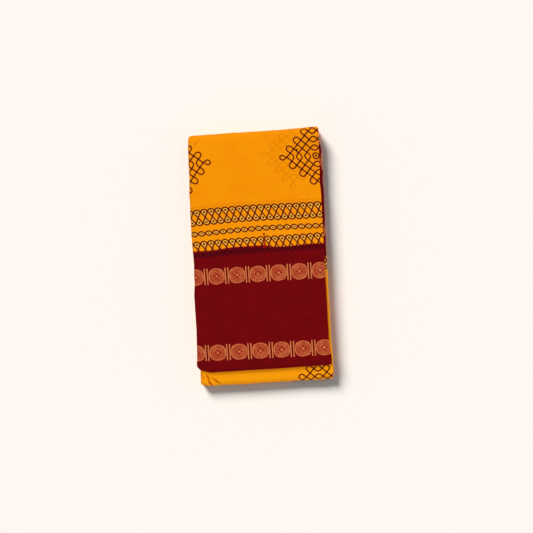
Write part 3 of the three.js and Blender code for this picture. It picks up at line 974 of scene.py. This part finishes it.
def print_chains(n, x, y, near, prints):
    """The two bands of drops, the faint row of loops over the upper one, and the eye chain between."""
    for side, *band in DROP_BANDS:
        along, height = chain_place(n, x, y if side == "body" else near, *band)
        chain = use_group(n, CHAIN, X=along, Y=height, Swing=DROP_SWING)
        prints["lines"].append(n.line(chain.outputs["Distance"], 1.12, 0.3))
        prints["crossings"].append(n.line(chain.outputs["Crossing"], 1.15, 0.5))
        prints["crossings"].append(n.line(chain.outputs["Dot"], 1.7, 0.35))
        prints["pale"].append(chain.outputs["Drop"])
        prints["bands"].append(chain.outputs["Band"])
        if side == "body":
            raised = n.minus(height, GHOST_CHAIN_RISE)
            ghost = use_group(n, CHAIN, X=along, Y=raised, Swing=DROP_SWING)
            ghost = n.line(ghost.outputs["Distance"], 0.8, 0.6)
            prints["ghosts"].append(n.times(ghost, n.band(height, 6, 10)))
    along, height = chain_place(n, x, y, *EYE_BAND)
    eyes = use_group(n, EYE_CHAIN, X=along, Y=height)
    prints["lines"].append(n.line(eyes.outputs["Distance"], 1.05, 0.3))
    prints["crossings"].append(n.line(eyes.outputs["Dot"], 1.2, 0.5))
    prints["pale"].append(eyes.outputs["Eye"])


def most(n, values):
    """The largest of several values."""
    largest = values[0]
    for value in values[1:]:
        largest = n.math("MAXIMUM", largest, value)
    return largest


def printed(n, x, y, near, place_mm, colour, is_body, fringe):
    """The cloth's colour with the print over it. The plum ground lies only on the border."""
    prints = {title: [] for title in ("lines", "crossings", "pale", "bands", "ghosts")}
    print_kolams(n, x, y, prints)
    print_chains(n, x, y, near, prints)
    lines, crossings, pale, bands, ghosts = (most(n, found) for found in prints.values())
    worn = n.math("MULTIPLY_ADD", n.noise(place_mm, 0.9), 0.4, 0.82)
    colour = n.stain(colour, GHOST_INK, n.times(ghosts, is_body), 0.5)
    colour = n.stain(colour, PALE_PRINT, n.times(pale, is_body), 0.62)
    is_border = n.minus(1.0, n.math("MAXIMUM", is_body, fringe))
    between = n.times(n.minus(bands, pale), is_border)
    colour = n.stain(colour, PLUM_PRINT, between, 0.5)
    ink = n.times(lines, n.pick(is_body, worn, 0.85))
    colour = n.mix(ink, colour, n.mix(is_body, INK_ON_MAROON, INK))
    return n.mix(n.times(crossings, worn), colour, INK_CROSSING)


print("rows of motifs:", len(KOLAM_ROWS), "bands of drops:", len(DROP_BANDS))

# %% [markdown]
# All of this comes together in one group for the cloth's colour. It takes the flat coordinates in metres
# and turns them into millimetres. The dyed cloth comes first, then the print, then the woven rows, which
# lie over the print, and last a red thread that was drawn from the border into the body.

# %% The cloth's colour
UPPER_COINS = {
    "level": -26.2, "tilt": 0.0, "wide": 1.05, "tall": 1.0, "start": -3.15, "pitch": 32.95,
    "further_in": 0.0,
}
LOWER_COINS = {
    "level": -148.1, "tilt": -0.0115, "wide": 1.08, "tall": 0.99, "start": -6.5, "pitch": 33.82,
    "further_in": 12.0,
}
COIN_REACH = 15.0
DRAWN_X, DRAWN_TOP, KNOT_Y = 10.4, 38.5, 36.0


def woven_rows(n, x, y, near, colour):
    """The two rows of medallions, woven with copper thread."""
    metal = tone = 0.0
    on_middle_leaf = n.math("GREATER_THAN", y, MIDDLE_LEAF_START)
    for row in (UPPER_COINS, LOWER_COINS):
        level = n.math("MULTIPLY_ADD", on_middle_leaf, row["further_in"], row["level"])
        above = n.minus(n.math("MULTIPLY_ADD", x, -row["tilt"], near), level)
        above = n.math("DIVIDE", above, row["tall"])
        coins = use_group(
            n, MEDALLIONS, X=n.minus(x, row["start"]), Y=above,
            Pitch=row["pitch"], Wide=COIN_WIDTH * row["wide"],
        )
        here = n.line(n.math("ABSOLUTE", above), COIN_REACH, 0.5)
        tone = n.pick(here, coins.outputs["Tone"], tone)
        metal = n.math("MAXIMUM", metal, n.times(coins.outputs["Metal"], here))
    copper = n.mix(n.band(tone, 0.12, 0.48), COPPER_DARK, COPPER)
    copper = n.mix(n.band(tone, 0.5, 0.95), copper, COPPER_LIGHT)
    return n.mix(metal, colour, copper), metal


def drawn_thread(n, x, y, wobble, colour):
    """The drawn thread: widest where it leaves the border, with a small knot near its end."""
    off = n.away(x, n.math("MULTIPLY_ADD", wobble, 2.0, DRAWN_X))
    reach = n.times(n.band(y, BORDER_TOP_Y - 1, BORDER_TOP_Y + 1), n.line(y, DRAWN_TOP, 1.0))
    wide = n.add("ShaderNodeMapRange", y, BORDER_TOP_Y + 3, 26.0, 2.4, 0.8).outputs[0]
    knot = n.times(n.line(n.away(y, KNOT_Y), 2.2, 0.9), 0.8)
    thread = n.line(n.minus(off, n.plus(wide, knot)), 0.0, 0.5)
    return n.stain(colour, THREAD_RED, n.times(thread, reach), 0.9)


def cloth_group():
    n, given = new_group(
        "saree cloth", [("Flat", VECTOR)], [("Color", COLOUR), ("Height", FLOAT), ("Metal", FLOAT)]
    )
    flat = n.add("ShaderNodeSeparateXYZ", given["Flat"])
    x, y = (n.times(flat.outputs[way], 1 / MM) for way in (0, 1))
    place_mm = n.point(x, y)
    near = n.math("MINIMUM", y, n.minus(MIRROR, y))
    weave = use_group(n, WEAVE, X=x, Y=y)
    wobble = n.minus(n.noise(place_mm, 0.05), 0.5)
    colour, is_body, fringe = plain_cloth(n, x, y, place_mm, near, wobble, weave.outputs["Streak"])
    colour = printed(n, x, y, near, place_mm, colour, is_body, fringe)
    colour, metal = woven_rows(n, x, y, near, colour)
    colour = drawn_thread(n, x, y, wobble, colour)
    raised = n.math("MULTIPLY_ADD", metal, 0.6, weave.outputs["Height"])
    return end_group(n, {"Color": colour, "Height": raised, "Metal": metal})


CLOTH = cloth_group()
print("cloth nodes:", len(CLOTH.nodes))

# %% [markdown]
# The materials share that group. Cotton is matt with a soft sheen, so only the woven thread is less rough.
# The sheen and the specular level are plain numbers on the shader, because they are the same all over the
# cloth. Deep creases and the grooves between the folded edges get painted shade, darker and redder, as
# light between two mustard walls is.

# %% Materials
# Painted shade: the colour that deep creases and the grooves between folded edges are darkened towards.
VALLEY_SHADE = (0.48, 0.15, 0.1, 1.0)


def cotton_material(name):
    material = bpy.data.materials.new(name)
    material.use_nodes = True
    n = Nodes(material.node_tree)
    shader = material.node_tree.nodes["Principled BSDF"]
    flat = n.add("ShaderNodeUVMap", uv_map=CLOTH_UV).outputs[0]
    cloth = use_group(n, CLOTH, Flat=flat)
    # Painted shade in creases and grooves, read from the attribute and multiplied into the colour.
    depth = n.add("ShaderNodeAttribute", attribute_name=PAINTED_SHADE).outputs["Fac"]
    colour = n.mix(depth, cloth.outputs["Color"], VALLEY_SHADE, blend="MULTIPLY")
    n.give(shader.inputs["Base Color"], colour)
    n.give(shader.inputs["Roughness"], n.math("MULTIPLY_ADD", cloth.outputs["Metal"], -0.3, 0.86))
    bump = n.add("ShaderNodeBump")
    bump.inputs["Strength"].default_value = 0.35
    bump.inputs["Distance"].default_value = 0.06 * MM
    n.give(bump.inputs["Height"], cloth.outputs["Height"])
    n.give(shader.inputs["Normal"], bump.outputs[0])
    shader.inputs["Sheen Weight"].default_value = 0.08
    shader.inputs["Sheen Roughness"].default_value = 0.5
    shader.inputs["Sheen Tint"].default_value = linear(255, 120, 40)
    shader.inputs["Specular IOR Level"].default_value = 0.05
    return material


MATERIALS = {
    "mustard_printed_cotton": cotton_material("mustard printed cotton"),
    "maroon_border_cotton": cotton_material("maroon border cotton"),
    "folded_cotton_layers": cotton_material("folded cotton layers"),
}
print("materials:", list(MATERIALS))

# %% [markdown]
# Every piece rides on the one body, hides the solid that it stands for, and gets one of the three
# materials.
# The sheets also say what size they were cut to, which is their flat size along and across the cloth. The
# strips at the hem stand for no solid of their own, because the hidden layers' solid already takes them in.

# %% Dressing the frame
def cut_size(stations):
    middle = stations[len(stations) // 2]
    width = middle["right"] - middle["left"] - EDGE_ROUND - (LEAF - SPINE_LIFT) / 2
    width += math.pi * (EDGE_ROUND + (LEAF - SPINE_LIFT) / 2)
    return width * MM, (stations[-1]["along"] - stations[0]["along"]) * MM


def dress(piece, node, slot, stations=None):
    piece.data.materials.append(MATERIALS[slot])
    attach(piece, "root")
    if node:
        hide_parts(node)
    if stations:
        size = cut_size(stations)
        print(piece.name, "cut to", [round(1000 * side) for side in size], "mm")


dress(front_border, "front_border", "maroon_border_cotton", FRONT)
dress(front_body, "front_body", "mustard_printed_cotton", FRONT_BODY)
dress(back_body, "back_body", "mustard_printed_cotton", BACK)
dress(lower_body, "lower_body", "mustard_printed_cotton", LOWER_BODY)
dress(inner_border, "inner_border", "maroon_border_cotton", INNER)
dress(layers, "folded_layers", "folded_cotton_layers")
dress(selvedges, None, "maroon_border_cotton")

# %% [markdown]
# The photo is taken from straight above, with the packet turned a little in the picture. The camera looks
# down from two metres at a field as wide as the photo, which is 533 by 533 pixels, each 1.6 mm wide on the
# packet. An orthographic camera would look much the same, but a real photo is taken from some distance.

# %% Camera
FIELD = 0.8455
CAMERA_HEIGHT = 2.0
SENSOR = 36.0
PACKET_TURN = 3.5
AIM = (0.0112, -0.0154)

camera_data = bpy.data.cameras.new("camera")
camera_data.sensor_width = SENSOR
camera_data.lens = SENSOR * CAMERA_HEIGHT / FIELD
camera = bpy.data.objects.new("camera", camera_data)
bpy.context.scene.collection.objects.link(camera)
camera.location = (AIM[0], AIM[1], CAMERA_HEIGHT + cad_box[1][2])
camera.rotation_euler = (0.0, 0.0, math.radians(-PACKET_TURN))
bpy.context.scene.camera = camera
print("lens mm:", round(camera_data.lens, 1))

# %% [markdown]
# A plain cream floor, like a sheet of paper under the packet. It is far larger than the field, so its edge
# never shows.

# %% Floor
FLOOR_SIZE = 40.0
PAPER = linear(253, 245, 239)

floor_mesh = bpy.data.meshes.new("floor")
bm = bmesh.new()
bmesh.ops.create_grid(bm, x_segments=1, y_segments=1, size=FLOOR_SIZE)
bm.to_mesh(floor_mesh)
bm.free()
floor = bpy.data.objects.new("floor", floor_mesh)
bpy.context.scene.collection.objects.link(floor)
paper = bpy.data.materials.new("cream paper")
paper.use_nodes = True
paper_shader = paper.node_tree.nodes["Principled BSDF"]
paper_shader.inputs["Base Color"].default_value = PAPER
paper_shader.inputs["Roughness"].default_value = 0.95
paper_shader.inputs["Specular IOR Level"].default_value = 0.1
floor_mesh.materials.append(paper)
print("floor faces:", len(floor_mesh.polygons))

# %% [markdown]
# Soft studio light. The photo's shadow falls to the lower right and is fairly dense, yet the folded edges
# beside it are bright. One lamp can't do both, so light linking gives each what it needs: a wide key lamp
# and a reflector from the right light only the cloth, and a key lamp of its own lights only the floor. The
# pale room around fills the rest.

# %% Light


def add_sun(name, energy, colour, width, direction):
    lamp = bpy.data.lights.new(name, "SUN")
    lamp.energy, lamp.color, lamp.angle = energy, colour, math.radians(width)
    sun = bpy.data.objects.new(name, lamp)
    sun.rotation_euler = Vector(direction).to_track_quat("-Z", "Y").to_euler()
    bpy.context.scene.collection.objects.link(sun)
    return sun


def light_only(sun, lit):
    """Limit a lamp to some objects. They still cast its shadow on each other."""
    group = bpy.data.collections.new(sun.name + " receivers")
    for piece in lit:
        group.objects.link(piece)
    sun.light_linking.receiver_collection = group


CLOTH_PIECES = [front_border, front_body, back_body, lower_body, inner_border, layers, selvedges]
LAMPS = (
    ("key", 1.95, (1.0, 0.98, 0.955), 45, (0.74, -0.96, -1.0), CLOTH_PIECES),
    ("floor key", 4.67, (1.0, 0.978, 0.947), 22, (0.78, -1.4, -1.0), [floor]),
    ("reflector", 1.97, (1.0, 0.97, 0.93), 40, (-1.1, 0.35, -0.8), CLOTH_PIECES),
)
ROOM_COLOUR, ROOM_STRENGTH = (0.84, 0.96, 1.0, 1.0), 0.27
for name, energy, colour, width, direction, lit in LAMPS:
    light_only(add_sun(name, energy, colour, width, direction), lit)

world = bpy.data.worlds.new("room")
world.use_nodes = True
world.node_tree.nodes["Background"].inputs["Color"].default_value = ROOM_COLOUR
world.node_tree.nodes["Background"].inputs["Strength"].default_value = ROOM_STRENGTH
bpy.context.scene.world = world
bpy.context.scene.view_settings.view_transform = "Standard"
print("lamps:", [(lamp[0], lamp[1]) for lamp in LAMPS])

# %% [markdown]
